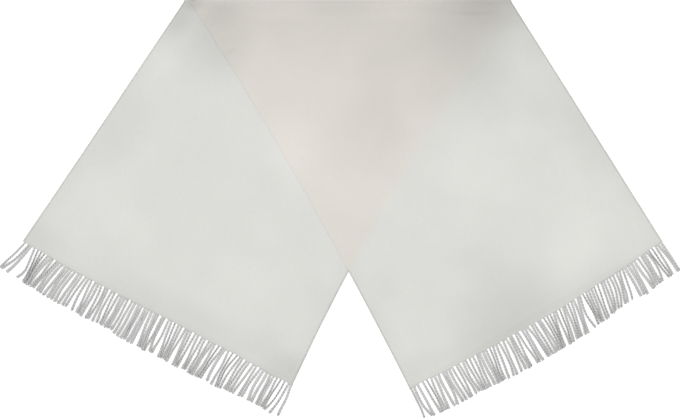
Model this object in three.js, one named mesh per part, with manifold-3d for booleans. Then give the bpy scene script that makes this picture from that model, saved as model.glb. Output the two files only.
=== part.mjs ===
// Scarf: one woven sheet laid flat and folded once, so that its two legs spread apart, with a row of
// twisted strands along each end. Millimetres, +Z up. It lies on z = 0 with its folded edge towards +Y.
import * as THREE from 'three';
import { mergeVertices } from 'three/addons/utils/BufferGeometryUtils.js';
import Module from 'manifold-3d';

const wasm = await Module();
wasm.setup();

// Woven sheet
const CLOTH = 1.2; // thickness
const LAYER_GAP = 1; // air between the two layers where the legs cross
const FOLD_Y = 512; // outermost line of the folded edge
const FOLD_RADIUS = 7; // of the soft roll at the fold, at mid thickness
const FOLD_SLOPE = 55; // stretch over which the upper layer comes down from the roll
const FOLD_AXIS_Y = FOLD_Y - FOLD_RADIUS - CLOTH / 2;

// The upper layer stays level for a while past the hidden edge of the lower one, then comes down to the floor.
const LEVEL_PAST_EDGE = 80;
const DOWN_PAST_EDGE = 170;

// Each leg between its two edges, left and right as seen from above: x at the fold, the corner at the hem, and
// how far the edge bows towards +X halfway. hemBow is how far the hem bulges outwards in its middle.
const LEGS = {
  lower: {
    left: { fold: -384, hem: [-781, -79], bow: 0 },
    right: { fold: 403, hem: [-117, -426], bow: -15 },
    hemBow: 0,
  },
  upper: {
    left: { fold: -370, hem: [170, -439], bow: 12 },
    right: { fold: 417, hem: [790, -79], bow: 0 },
    hemBow: 13,
  },
};

// Soft swells where the cloth doesn't lie quite flat: middle, half length, half width, turn of the length
// from +X in degrees, and height.
const SWELLS = [
  { x: -430, y: 320, long: 230, wide: 120, turn: 55, high: 3.5 },
  { x: -545, y: 20, long: 180, wide: 115, turn: 62, high: 4.5 },
  { x: -200, y: -150, long: 170, wide: 115, turn: 50, high: 3.5 },
  { x: -60, y: 150, long: 260, wide: 140, turn: 68, high: 2.5 },
  { x: 370, y: 90, long: 240, wide: 125, turn: -58, high: 4 },
  { x: 520, y: -20, long: 150, wide: 115, turn: -50, high: 3.5 },
  { x: 205, y: -225, long: 140, wide: 110, turn: -62, high: 3 },
];

// Rows and columns of the sheet's mesh
const COLUMNS = 20;
const LEG_ROWS = 20;
const TURN_ROWS = 6;
const ROW_CROWDING = 1.6; // above 1, rows crowd towards the fold

// Fringe
const HEM_GAP = 0.3; // between the sheet's hem and the heading of the fringe
const HEADING_WIDE = 2.4;
const HEADING_HIGH = 1.8;
const HEADING_STEPS = 12;
const ROOT_DEPTH = 1.2; // how far inside the heading a strand begins
const ROOT_PITCH = 9.2;
const STRAND_STEPS = 3;
const STRAND_ROOT = { wide: 4.8, high: 1.5 };
const STRAND_TIP = { wide: 6.4, high: 3.8 };
const TOP_SHARE = 0.5; // a strand's top over its base width

// Locks of the fringe from the hem's left end, in millimetres along the hem: the number of strands, the middle
// of their roots, the middle of their tips, the pitch of their tips, the share of their length at which they
// have closed up, how far they bulge sideways halfway, and their length. One strand alone bulges to the right.
const COLUMN_NAMES = ['strands', 'root', 'tip', 'pitch', 'closes', 'bulge', 'length'];
const LOCKS = {
  lower: [
    [2, 14, -13, 6.0, 0.85, 1, 76],
    [1, 28, 2, 0, 1, 0, 78],
    [1, 37, 32, 0, 1, 9, 78],
    [5, 63, 58, 4.4, 0.47, 0, 83],
    [2, 94, 76, 6.1, 0.75, 0, 83],
    [7, 134, 119, 10.0, 1, 0, 89],
    [2, 175, 164, 6.0, 0.97, 0, 88],
    [1, 188, 187, 0, 1, 0, 88],
    [3, 206, 206, 6.0, 0.9, 0, 91],
    [2, 229, 228, 6.0, 0.6, 0, 90],
    [2, 247, 249, 6.0, 0.45, 0, 89],
    [2, 266, 267, 6.0, 0.97, 0, 89],
    [2, 284, 283, 7.6, 1, 0, 88],
    [2, 302, 299, 6.0, 0.6, 0, 91],
    [5, 335, 334, 9.7, 1, 0, 93],
    [4, 376, 380, 6.0, 0.6, 0, 92],
    [2, 403, 406, 5.8, 0.93, 3, 91],
    [3, 427, 432, 5.4, 0.7, 0, 92],
    [2, 450, 448, 6.0, 0.63, 0, 91],
    [3, 472, 473, 6.0, 0.7, 0, 92],
    [2, 496, 496, 6.0, 0.57, 0, 89],
    [3, 519, 516, 6.0, 0.5, 0, 91],
    [3, 546, 537, 6.0, 0.3, 0, 91],
    [1, 565, 560, 0, 1, 0, 88],
    [4, 589, 583, 6.0, 0.9, 2, 91],
    [2, 618, 613, 6.0, 0.38, 0, 86],
    [2, 637, 626, 6.0, 0.85, 0, 85],
    [2, 657, 649, 6.0, 0.42, 0, 85],
    [2, 677, 676, 10.0, 1, 0, 83],
    [2, 696, 698, 7.4, 1, 0, 83],
    [2, 715, 711, 5.6, 0.4, 0, 84],
    [1, 730, 720, 0, 1, 6, 84],
    [1, 738, 732, 0, 1, 0, 87],
    [1, 746, 753, 0, 1, 2, 83],
  ],
  upper: [
    [1, 3, -5, 0, 1, 0, 77],
    [1, 12, 13, 0, 1, -5, 80],
    [1, 22, 21, 0, 1, 0, 82],
    [2, 41, 38, 5.9, 0.87, 2, 83],
    [2, 63, 56, 7.5, 1, 0, 83],
    [4, 93, 90, 10.4, 1, 0, 84],
    [2, 122, 121, 6.0, 0.72, 0, 83],
    [2, 140, 139, 6.0, 0.72, 0, 82],
    [2, 158, 157, 6.0, 0.78, 0, 82],
    [2, 177, 170, 6.0, 0.58, 0, 82],
    [1, 190, 186, 0, 1, 0, 82],
    [4, 213, 205, 5.9, 0.6, 0, 84],
    [1, 237, 224, 0, 1, 0, 86],
    [2, 251, 240, 8.5, 1, 0, 87],
    [2, 269, 264, 9.5, 1, 0, 87],
    [2, 287, 283, 6.0, 0.71, 0, 88],
    [2, 304, 306, 5.9, 0.9, 0, 88],
    [1, 318, 319, 0, 1, 0, 89],
    [2, 331, 335, 6.0, 0.37, 0, 88],
    [2, 349, 351, 6.0, 0.95, 0, 88],
    [5, 378, 373, 4.4, 0.55, 0, 86],
    [3, 413, 400, 4.8, 0.9, 0, 88],
    [3, 440, 424, 5.3, 0.7, 0, 86],
    [2, 462, 442, 6.0, 0.3, 0, 87],
    [1, 475, 470, 0, 1, -7, 83],
    [3, 491, 485, 6.0, 0.5, 0, 82],
    [3, 517, 507, 4.7, 0.75, 0, 81],
    [8, 566, 551, 8.9, 1, 0, 80],
    [3, 615, 613, 8.0, 1, 0, 82],
    [3, 642, 643, 6.0, 0.97, 0, 81],
    [2, 664, 665, 7.4, 1, 2, 79],
    [3, 685, 692, 6.0, 0.75, 0, 80],
    [2, 708, 715, 6.0, 0.8, 0, 79],
  ],
};

const COLOURS = { cloth: 0xdadbd6, yarn: 0xcfcfcb };

const { lerp, smoothstep, degToRad } = THREE.MathUtils;

// Height of the swells over the floor at a place.
function swellAt(x, y) {
  let height = 0;
  for (const swell of SWELLS) {
    const turn = degToRad(swell.turn);
    const dx = x - swell.x;
    const dy = y - swell.y;
    const along = (dx * Math.cos(turn) + dy * Math.sin(turn)) / swell.long;
    const aside = (dy * Math.cos(turn) - dx * Math.sin(turn)) / swell.wide;
    const inside = Math.max(0, 1 - along * along - aside * aside);
    height += swell.high * inside * inside;
  }
  return height;
}

// Place on an edge of a leg, from the fold (0) to the hem (1).
function edgeAt(edge, along) {
  const x = lerp(edge.fold, edge.hem[0], along) + 4 * edge.bow * along * (1 - along);
  return new THREE.Vector2(x, lerp(FOLD_AXIS_Y, edge.hem[1], along));
}

// The hem's direction from left to right, and the direction away from the fold.
function hemFrame(leg) {
  const start = new THREE.Vector2(...leg.left.hem);
  const side = new THREE.Vector2(...leg.right.hem).sub(start);
  const length = side.length();
  side.normalize();
  return { length, side, outward: new THREE.Vector2(side.y, -side.x) };
}

// Place on a leg: across from its left edge (0) to its right (1), along from the fold (0) to the hem (1).
function legAt(leg, across, along) {
  const place = edgeAt(leg.left, along).lerp(edgeAt(leg.right, along), across);
  const bulge = 4 * leg.hemBow * across * (1 - across) * along ** 3;
  return place.addScaledVector(hemFrame(leg).outward, bulge);
}

// Distance of a place past the hidden right edge of the lower leg, negative on the leg.
function pastLowerLeg(place) {
  const { right } = LEGS.lower;
  const along = (FOLD_AXIS_Y - place.y) / (FOLD_AXIS_Y - right.hem[1]);
  const slant = Math.atan2(right.fold - right.hem[0], FOLD_AXIS_Y - right.hem[1]);
  return (place.x - edgeAt(right, Math.min(along, 1)).x) * Math.cos(slant);
}

function lowerPoint(across, along) {
  const place = legAt(LEGS.lower, across, along);
  return new THREE.Vector3(place.x, place.y, CLOTH / 2 + swellAt(place.x, place.y));
}

function upperPoint(across, along) {
  const place = legAt(LEGS.upper, across, along);
  const level = CLOTH + LAYER_GAP;
  const over = 1 - smoothstep(pastLowerLeg(place), LEVEL_PAST_EDGE, DOWN_PAST_EDGE);
  const roll = 1 - smoothstep(FOLD_AXIS_Y - place.y, 0, FOLD_SLOPE);
  const lift = lerp(level * over, 2 * FOLD_RADIUS, roll);
  return new THREE.Vector3(place.x, place.y, CLOTH / 2 + swellAt(place.x, place.y) + lift);
}

// The roll at the fold, from the lower layer (0) to the upper one (1).
function turnPoint(across, turned) {
  const { lower, upper } = LEGS;
  const low = lerp(lower.left.fold, lower.right.fold, across);
  const high = lerp(upper.left.fold, upper.right.fold, across);
  const angle = Math.PI * turned;
  const y = FOLD_AXIS_Y + FOLD_RADIUS * Math.sin(angle);
  const z = CLOTH / 2 + FOLD_RADIUS * (1 - Math.cos(angle));
  return new THREE.Vector3(lerp(low, high, turned), y, z);
}

// Rows of mid-thickness points from the lower hem, round the fold, to the upper hem.
function sheetRows() {
  const rows = [];
  const row = (pointAt, share) => {
    rows.push(Array.from({ length: COLUMNS + 1 }, (_, column) => pointAt(column / COLUMNS, share)));
  };
  for (let step = LEG_ROWS; step > 0; step -= 1) row(lowerPoint, (step / LEG_ROWS) ** ROW_CROWDING);
  for (let step = 0; step <= TURN_ROWS; step += 1) row(turnPoint, step / TURN_ROWS);
  for (let step = 1; step <= LEG_ROWS; step += 1) row(upperPoint, (step / LEG_ROWS) ** ROW_CROWDING);
  return rows;
}

// Direction square to the sheet at a point of the rows, outwards round the roll.
function squareTo(rows, row, column) {
  const before = rows[Math.max(row - 1, 0)][column];
  const after = rows[Math.min(row + 1, rows.length - 1)][column];
  const left = rows[row][Math.max(column - 1, 0)];
  const right = rows[row][Math.min(column + 1, COLUMNS)];
  const along = after.clone().sub(before);
  return right.clone().sub(left).cross(along).normalize();
}

// A wall of the cloth's thickness round the rows, closed along its four sides.
function sheetGeometry(rows) {
  const width = COLUMNS + 1;
  const layer = rows.length * width;
  const positions = [];
  for (const side of [1, -1]) {
    rows.forEach((points, row) => points.forEach((point, column) => {
      const place = point.clone().addScaledVector(squareTo(rows, row, column), (side * CLOTH) / 2);
      positions.push(place.x, place.y, place.z);
    }));
  }
  const index = [];
  const quad = (a, b, c, d) => index.push(a, b, c, a, c, d);
  for (let row = 0; row < rows.length - 1; row += 1) {
    const start = row * width;
    for (let column = 0; column < COLUMNS; column += 1) {
      const a = start + column;
      quad(a, a + 1, a + 1 + width, a + width);
      quad(layer + a, layer + a + width, layer + a + 1 + width, layer + a + 1);
    }
    const end = start + COLUMNS;
    quad(start, start + width, layer + start + width, layer + start);
    quad(end, layer + end, layer + end + width, end + width);
  }
  const last = (rows.length - 1) * width;
  for (let column = 0; column < COLUMNS; column += 1) {
    quad(column, layer + column, layer + column + 1, column + 1);
    const a = last + column;
    quad(a, a + 1, layer + a + 1, layer + a);
  }
  return asGeometry(positions, index);
}

function asGeometry(positions, index) {
  const geometry = new THREE.BufferGeometry();
  geometry.setAttribute('position', new THREE.Float32BufferAttribute(positions, 3));
  geometry.setIndex(index);
  return geometry;
}

// A closed bar through rings of points that all have the same count, with flat ends.
function barGeometry(rings) {
  const count = rings[0].length;
  const positions = rings.flat().flatMap((point) => [point.x, point.y, point.z]);
  const index = [];
  for (let ring = 0; ring < rings.length - 1; ring += 1) {
    for (let side = 0; side < count; side += 1) {
      const a = ring * count + side;
      const b = ring * count + ((side + 1) % count);
      index.push(a, b, b + count, a, b + count, a + count);
    }
  }
  const last = (rings.length - 1) * count;
  for (let side = 1; side < count - 1; side += 1) {
    index.push(0, side + 1, side);
    index.push(last, last + side, last + side + 1);
  }
  return asGeometry(positions, index);
}

// A flat-bottomed ring of four points standing on the floor, seen along the way that the bar runs.
function standingRing(middle, side, wide, high, topWide) {
  const corner = (aside, z) => new THREE.Vector3(middle.x + side.x * aside, middle.y + side.y * aside, z);
  return [
    corner(-wide / 2, 0),
    corner(wide / 2, 0),
    corner(topWide / 2, high),
    corner(-topWide / 2, high),
  ];
}

function asSolid(geometry) {
  const merged = mergeVertices(geometry, 1e-5);
  return new wasm.Manifold(new wasm.Mesh({
    numProp: 3,
    vertProperties: new Float32Array(merged.getAttribute('position').array),
    triVerts: new Uint32Array(merged.getIndex().array),
  }));
}

function fromSolid(solid) {
  const mesh = solid.getMesh();
  return asGeometry(Array.from(mesh.vertProperties), Array.from(mesh.triVerts));
}

// The narrow heading along the hem that the strands of a fringe hang from.
function headingGeometry(leg) {
  const { outward } = hemFrame(leg);
  const rings = [];
  for (let step = 0; step <= HEADING_STEPS; step += 1) {
    const middle = legAt(leg, step / HEADING_STEPS, 1).addScaledVector(outward, HEM_GAP + HEADING_WIDE / 2);
    rings.push(standingRing(middle, outward, HEADING_WIDE, HEADING_HIGH, HEADING_WIDE));
  }
  return barGeometry(rings.map((ring) => ring.reverse()));
}

// One strand of a lock, number 0 at the left.
function strandGeometry(leg, lock, number) {
  const { length, side, outward } = hemFrame(leg);
  const fromMiddle = number - (lock.strands - 1) / 2;
  const bulge = lock.strands > 1 ? (2 * lock.bulge * fromMiddle) / (lock.strands - 1) : lock.bulge;
  const rootAside = lock.root + fromMiddle * ROOT_PITCH;
  const root = legAt(leg, rootAside / length, 1).addScaledVector(outward, HEM_GAP + HEADING_WIDE);
  const rings = [];
  for (let step = 0; step <= STRAND_STEPS; step += 1) {
    const share = step / STRAND_STEPS;
    const pitch = lerp(ROOT_PITCH, lock.pitch, Math.min(share / lock.closes, 1));
    const aside = lerp(lock.root, lock.tip, share) + fromMiddle * pitch + bulge * Math.sin(Math.PI * share);
    const reach = lerp(-ROOT_DEPTH, lock.length, share);
    const middle = root.clone().addScaledVector(side, aside - rootAside).addScaledVector(outward, reach);
    const grown = Math.sqrt(share);
    const wide = lerp(STRAND_ROOT.wide, STRAND_TIP.wide, grown);
    const high = lerp(STRAND_ROOT.high, STRAND_TIP.high, grown);
    rings.push(standingRing(middle, side, wide, high, wide * TOP_SHARE));
  }
  return barGeometry(rings);
}

function fringeGeometry(leg, rows) {
  let fringe = asSolid(headingGeometry(leg));
  for (const row of rows) {
    const lock = Object.fromEntries(COLUMN_NAMES.map((name, column) => [name, row[column]]));
    for (let number = 0; number < lock.strands; number += 1) {
      fringe = fringe.add(asSolid(strandGeometry(leg, lock, number)));
    }
  }
  return fromSolid(fringe);
}

function piece(name, geometry, colour) {
  geometry.computeVertexNormals();
  const material = new THREE.MeshStandardMaterial({ color: colour, roughness: 0.92, metalness: 0 });
  const mesh = new THREE.Mesh(geometry, material);
  mesh.name = name;
  return mesh;
}

const scarf = new THREE.Group();
scarf.name = 'scarf';
scarf.add(piece('woven_body', sheetGeometry(sheetRows()), COLOURS.cloth));
scarf.add(piece('fringe_left', fringeGeometry(LEGS.lower, LOCKS.lower), COLOURS.yarn));
scarf.add(piece('fringe_right', fringeGeometry(LEGS.upper, LOCKS.upper), COLOURS.yarn));

export default scarf;
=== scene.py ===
import math

import bpy
import numpy as np
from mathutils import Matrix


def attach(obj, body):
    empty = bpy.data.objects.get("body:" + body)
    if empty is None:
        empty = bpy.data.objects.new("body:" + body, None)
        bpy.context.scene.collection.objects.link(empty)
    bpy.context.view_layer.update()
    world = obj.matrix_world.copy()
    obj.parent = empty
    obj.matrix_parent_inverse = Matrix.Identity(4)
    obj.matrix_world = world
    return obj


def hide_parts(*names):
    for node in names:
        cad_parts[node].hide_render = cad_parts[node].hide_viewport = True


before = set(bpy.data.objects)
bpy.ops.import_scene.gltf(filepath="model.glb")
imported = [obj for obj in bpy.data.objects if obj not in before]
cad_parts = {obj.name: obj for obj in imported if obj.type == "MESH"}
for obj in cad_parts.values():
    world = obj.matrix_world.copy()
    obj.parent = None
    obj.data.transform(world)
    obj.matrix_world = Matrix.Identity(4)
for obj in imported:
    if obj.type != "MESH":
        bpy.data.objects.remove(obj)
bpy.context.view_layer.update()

MM = 0.001

# Picture
PICTURE_WIDE = 680
METRES_PER_PIXEL = 0.00245
CAMERA_OVER = (-0.0007, 0.0002)
LENS = 100.0  # millimetres, as is the sensor's width
SENSOR = 36.0

# Woven sheet
CLOTH = 1.2 * MM
LAYER_GAP = 0.35 * MM
FOLD_Y = 0.5145
FOLD_RADIUS = 4.0 * MM
FOLD_SLOPE = 0.035
FOLD_CLOSES = 60 * MM  # towards both edges of the cloth, over which the roll closes up
FOLD_AXIS_Y = FOLD_Y - FOLD_RADIUS - CLOTH / 2

# Each leg between its two edges, left and right as seen from above: x at the fold, the corner at the hem, how
# far the edge bows towards +X halfway, and how far it sways, first towards +X and then back.
# hem_bow is how far the hem bulges outwards in its middle, and hem_strays how the hem strays from that:
# millimetres along it from its left corner, and outwards.
LOWER = {
    "left": {"fold": -0.383, "hem": (-0.779, -0.079), "bow": 0.001, "sway": 0.0},
    "right": {"fold": 0.403, "hem": (-0.115, -0.426), "bow": -0.014, "sway": 0.0045},
    "hem_bow": 0.0,
    "hem_strays": (
        (0, -3.2), (50, -1.5), (95, 1.3), (180, 3.1), (260, 3.1), (340, 2.3), (430, 1.0), (520, 2.4),
        (590, 0.9), (640, 2.7), (750, 3.9),
    ),
}
UPPER = {
    "left": {"fold": -0.369, "hem": (0.170, -0.439), "bow": 0.017, "sway": 0.001},
    "right": {"fold": 0.419, "hem": (0.790, -0.079), "bow": 0.0005, "sway": 0.0},
    "hem_bow": 0.013,
    "hem_strays": (
        (0, -2.2), (45, -3.6), (120, -1.8), (160, -2.4), (220, -1.4), (300, -1.4), (350, 0.0), (420, 1.6),
        (465, -0.7), (520, -2.0), (640, -2.2), (680, -4.0), (717, -2.6),
    ),
}
HEM_SOFTNESS = 15.0  # millimetres to either side over which the hem's stray is evened out
FLAT_WIDE = 0.70
FLAT_LONG = 1.81

# Past the lower layer's hidden edge the upper one stays level for a little, then comes down to the floor.
LEVEL_PAST_EDGE = 4 * MM
DOWN_PAST_EDGE = 45 * MM

# Soft swells where the cloth doesn't lie quite flat: middle, half length, half width, turn of the length from
# +X in degrees, and height.
PATCH_COLUMNS = ("x", "y", "long", "wide", "turn", "high")
SWELLS = (
    (-0.430, 0.320, 0.230, 0.120, 55, 3.5 * MM),
    (-0.545, 0.020, 0.180, 0.115, 62, 4.5 * MM),
    (-0.200, -0.150, 0.170, 0.115, 50, 3.5 * MM),
    (-0.060, 0.150, 0.260, 0.140, 68, 2.5 * MM),
    (0.370, 0.090, 0.240, 0.125, -58, 4.0 * MM),
    (0.520, -0.020, 0.150, 0.115, -50, 3.5 * MM),
    (0.205, -0.225, 0.140, 0.110, -62, 3.0 * MM),
)

# Fine waves all over the cloth: their length in metres, the turn of their run from +X in degrees, and height
WAVES = ((0.094, 12, 0.20 * MM), (0.131, 75, 0.25 * MM), (0.067, -48, 0.12 * MM))
WAVES_SET_IN = 0.12  # metres from the fold, by which they are at their full height

# Painted light and shade: paler and darker places in the cloth's colour, laid out as the swells are, with the
# change as a share of the colour
PAINTED_LIGHT_AND_SHADE = (
    (0.0, 0.5, 0.6, 0.22, 0, -0.105), (-0.145, 0.492, 0.12, 0.035, 0, 0.055),
    (0.12, 0.492, 0.11, 0.035, 0, 0.045), (-0.36, 0.505, 0.042, 0.024, 0, -0.13),
    (-0.268, 0.387, 0.028, 0.009, 21, -0.045), (-0.314, 0.44, 0.16, 0.13, 60, -0.11),
    (-0.395, 0.47, 0.09, 0.045, 57, -0.11), (-0.3, 0.48, 0.07, 0.05, 0, -0.04),
    (-0.275, 0.36, 0.11, 0.075, 60, -0.045), (0.318, 0.428, 0.22, 0.17, 20, -0.17),
    (0.385, 0.498, 0.175, 0.08, 0, -0.12), (0.4, 0.514, 0.23, 0.024, 0, -0.08),
    (0.36, 0.29, 0.2, 0.12, 0, -0.06), (0.213, 0.287, 0.075, 0.085, 0, -0.055),
    (0.48, 0.235, 0.07, 0.06, -57, -0.03), (0.475, 0.381, 0.06, 0.05, -57, -0.035),
    (0.122, 0.175, 0.06, 0.06, 0, -0.025), (0.097, 0.281, 0.22, 0.12, 80, -0.07),
    (-0.03, 0.507, 0.27, 0.005, 0, -0.045), (0.325, 0.48, 0.07, 0.006, 0, -0.045),
    (-0.106, 0.146, 0.14, 0.1, -60, 0.085), (0.024, 0.028, 0.2, 0.09, 0, 0.045),
    (0.342, 0.073, 0.17, 0.14, 0, 0.03), (0.582, -0.074, 0.16, 0.1, 60, 0.055),
    (-0.552, -0.013, 0.16, 0.09, -45, 0.035), (-0.226, -0.185, 0.13, 0.1, 0, 0.03),
    (-0.442, 0.362, 0.07, 0.06, 0, 0.03), (-0.736, -0.07, 0.1, 0.06, -25, -0.07),
    (-0.43, -0.253, 0.42, 0.085, -26, -0.075), (-0.128, -0.398, 0.1, 0.07, 0, -0.1),
    (-0.172, -0.335, 0.12, 0.08, -26, -0.045), (-0.055, -0.205, 0.08, 0.05, -60, -0.03),
    (0.4, -0.245, 0.17, 0.14, 30, -0.12), (0.489, -0.185, 0.12, 0.08, 30, -0.025),
    (0.48, -0.259, 0.42, 0.06, 30, -0.055), (0.33, -0.33, 0.12, 0.08, 30, -0.04),
    (0.575, 0.207, 0.2, 0.08, -60, -0.065), (0.306, -0.111, 0.12, 0.07, 0, -0.03),
    (0.345, -0.143, 0.11, 0.07, 0, -0.035), (0.11, -0.185, 0.07, 0.06, -60, -0.045),
    (0.2, -0.38, 0.08, 0.05, 30, -0.055), (-0.532, 0.185, 0.17, 0.08, 57, -0.05),
)

# The cloth is warmer where its layers lie on each other, a painted show-through of the light that passes
# through the cloth.
# Past the lower one's hidden edge that goes on for a shift, and it fades over a blur to either side. Both
# grow with y:
# the range of y, and the range of widths.
WARM_SHIFT = {"y": (0.15, 0.40), "wide": (0.0, 0.012)}
WARM_BLUR = {"y": (-0.20, 0.45), "wide": (0.008, 0.042)}

# Mesh of the sheet
EVEN_COLUMNS = 112
EVEN_ROWS = 136  # of a leg
TURN_ROWS = 18
ROW_CROWDING = 1.5  # above 1, rows crowd towards the fold
NEAR_EDGE = (0.0, 0.35 * MM, 0.9 * MM, 1.6 * MM, 2.4 * MM, 3.4 * MM)  # columns and rows beside edges and hems
LEG_ROWS = EVEN_ROWS + len(NEAR_EDGE) - 1
# Along its edges the cloth is pressed thin, to a share of its thickness, and carries a low bead.
SELVEDGE = {"pressed": 5.0 * MM, "thin": 0.5, "bead": 2.4 * MM, "high": 0.12 * MM}
RIM_SQUARED = 0.02  # square of the share of its thickness that the cloth keeps at its very rim
EDGE_GAP = 0.06 * MM  # left between the layers at the upper one's edges
EDGE_SETTLES = 12 * MM  # over which it comes down to that

# Fringe
HEADING = 2.7 * MM  # from the hem of the solid to where the lengths of the strands are counted from
HEM_OUT = 1.2 * MM  # how far the cloth runs past that hem
ROOT_PITCH = 9.2 * MM
ROOT_INSIDE = 2.0 * MM  # how far a strand's yarns run inside the edge of the cloth
PATH_POINTS = 48
STRAND = {"yarns": 2, "wide": 6.3 * MM, "flat": 0.6, "turn": 14 * MM, "turn_varies": (0.85, 1.15)}
YARN = {"wide": 3.5 * MM, "sides": 8, "steps": 64, "flat_at_hem": 0.4, "wide_varies": (0.93, 1.07)}
# Towards a tip the twist loosens and the yarns end unevenly, from a share of the length on. Just before their
# ends they taper to a share of their width.
TIP = {"from": 0.86, "loose": 0.35, "uneven": 1.2 * MM, "taper_from": 0.975, "taper_to": 0.6}
LYING_HIGH = 1.06  # height of a strand's middle above the floor, in halves of its width
WANDER = {"aside": 0.8 * MM, "cycles": (0.8, 1.6)}  # how a strand winds sideways about its even line
CLOSING = 2.0  # above 1, the strands of a lock run side by side at first and then close up faster

# Inputs of the tree that grows the strands
STRAND_SIZES = {
    "Steps": YARN["steps"],
    "Yarns": STRAND["yarns"],
    "Sides": YARN["sides"],
    "Yarn Radius": YARN["wide"] / 2,
    "Coil Radius": (STRAND["wide"] - YARN["wide"]) / 2,
    "Flatness": STRAND["flat"],
    "Flatness At Hem": YARN["flat_at_hem"],
    "Turn Length": STRAND["turn"],
    "Inside Length": ROOT_INSIDE,
    "Loose Tip": TIP["loose"],
    "Uneven Tips": TIP["uneven"],
}

# A strand's yarns fan out at the hem, nearly to its neighbours', and gather to the twist. Beside a deep gap,
# which reaches up to the hem, they keep close and the strand leans away from it. By the number of deep gaps
# beside it, a strand has these shares of the usual width, at its root, halfway and at its tip.
FAN = {"reach": 4.7 * MM, "beside_gap": 2.6 * MM, "gather": (3 * MM, 9 * MM), "lean": 0.7 * MM}
FULL = {"at_root": (1.16, 0.98, 0.75), "halfway": (1.19, 0.91, 0.70), "at_tip": (1.29, 1.18, 1.00)}
HALFWAY = 0.6  # of the length, where the second of these widths is
UNEVEN = 0.08  # the most by which a strand is wider or narrower than that, as a share
# A strand without a deep gap beside it strays off its even place, at most this far and by this share of its
# length.
STRAY = {"aside": 1.4 * MM, "by": 0.4}
FANS_OVERLAP = 1.02  # above 1, the fans of two neighbours overlap at the hem
STRAND_VALUES = ("fullness", "reach_left", "reach_right", "gather_length")

# Locks of the fringe from the hem's left end, four columns in millimetres: the middle of the roots along the
# hem, the middle of the tips, the bulge halfway, and the length. Most are one strand alone, bulging to the
# right. A lock of several bulges to both sides. It has three columns more: the number of strands, the pitch
# of their tips, and the share of their length at which they have closed up.
ALONE = (1, 0, 1)  # stands for those three where a strand is alone
LOWER_LOCKS = (
    (8, -20, 1, 78), (17, -14, 4, 78), (24, 0, 2, 80), (35, 41, 0, 80), (43.6, 46, 2, 83), (52.8, 50, 1, 85),
    (62, 54, -2.5, 85), (71, 58, -3, 85), (80.5, 62, -2, 85), (87.5, 69.5, 1, 85), (96, 75, 0, 84),
    (103, 86.5, -3, 87), (112.5, 95.5, -3, 88), (122, 104.5, 0.5, 89), (131, 117.5, -2.5, 90),
    (139.5, 126.5, -2, 90), (149, 137.5, -2, 90), (159, 146.5, 0.5, 91), (168.5, 158, -0.5, 90),
    (177, 166.5, -0.5, 88), (186, 184.5, -2.5, 90), (195, 198, 0, 89), (204, 203, 0.5, 89),
    (213, 210.5, 3, 93), (222.5, 222.5, 3, 92), (231.5, 230, 2.5, 90), (240.5, 242.5, -0.5, 90),
    (249.5, 252, -2, 89), (259.5, 263, -1.5, 89), (268.5, 267.5, -1, 88), (277.5, 276.5, 1.5, 90),
    (286.5, 285, 0, 87), (295.5, 293, 1.5, 87), (304.5, 301.5, 1, 93), (314.5, 314, 1, 94),
    (324, 323.5, 1.5, 95), (332.5, 330, 0, 93), (342.5, 341, 1, 95), (351, 351.5, -1, 95),
    (360, 367.5, -1.5, 92), (369.5, 374, 0.5, 92), (378.5, 382.5, -1, 95), (388, 387.5, 1, 95),
    (396.5, 400, -2.5, 91), (405.5, 406.5, 2, 91), (415, 425.5, 0, 94), (424, 431, 0.5, 93),
    (433, 437, 0.5, 91), (448, 446, 0, 93, 2, 6.0, 0.63), (470, 471, 0, 94, 3, 6.0, 0.7),
    (494, 494, 0, 91, 2, 6.0, 0.57), (518, 513, 0, 93, 3, 6.0, 0.5), (545, 534.5, 0, 93, 3, 6.3, 0.4),
    (562, 559, -3, 90), (572.5, 570, 2, 93), (583, 582, -2.5, 93), (595.5, 588, -5.5, 92),
    (603.5, 594, -2.5, 91), (612, 605.5, -1, 88), (621, 612.5, -2, 88), (630.5, 620.5, -1.5, 87),
    (640, 626.5, 1.5, 87), (650.5, 644.5, -1, 87), (660, 650.5, -1.5, 85), (670, 669, -3, 85),
    (680, 676.5, 0, 85), (689.5, 689.5, 0, 85), (698.5, 695.5, -2, 85), (713, 709, 0, 86, 2, 5.6, 0.4),
    (728, 716.5, 4, 86), (738, 731, 2, 89), (746, 751, 2, 85),
)
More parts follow.
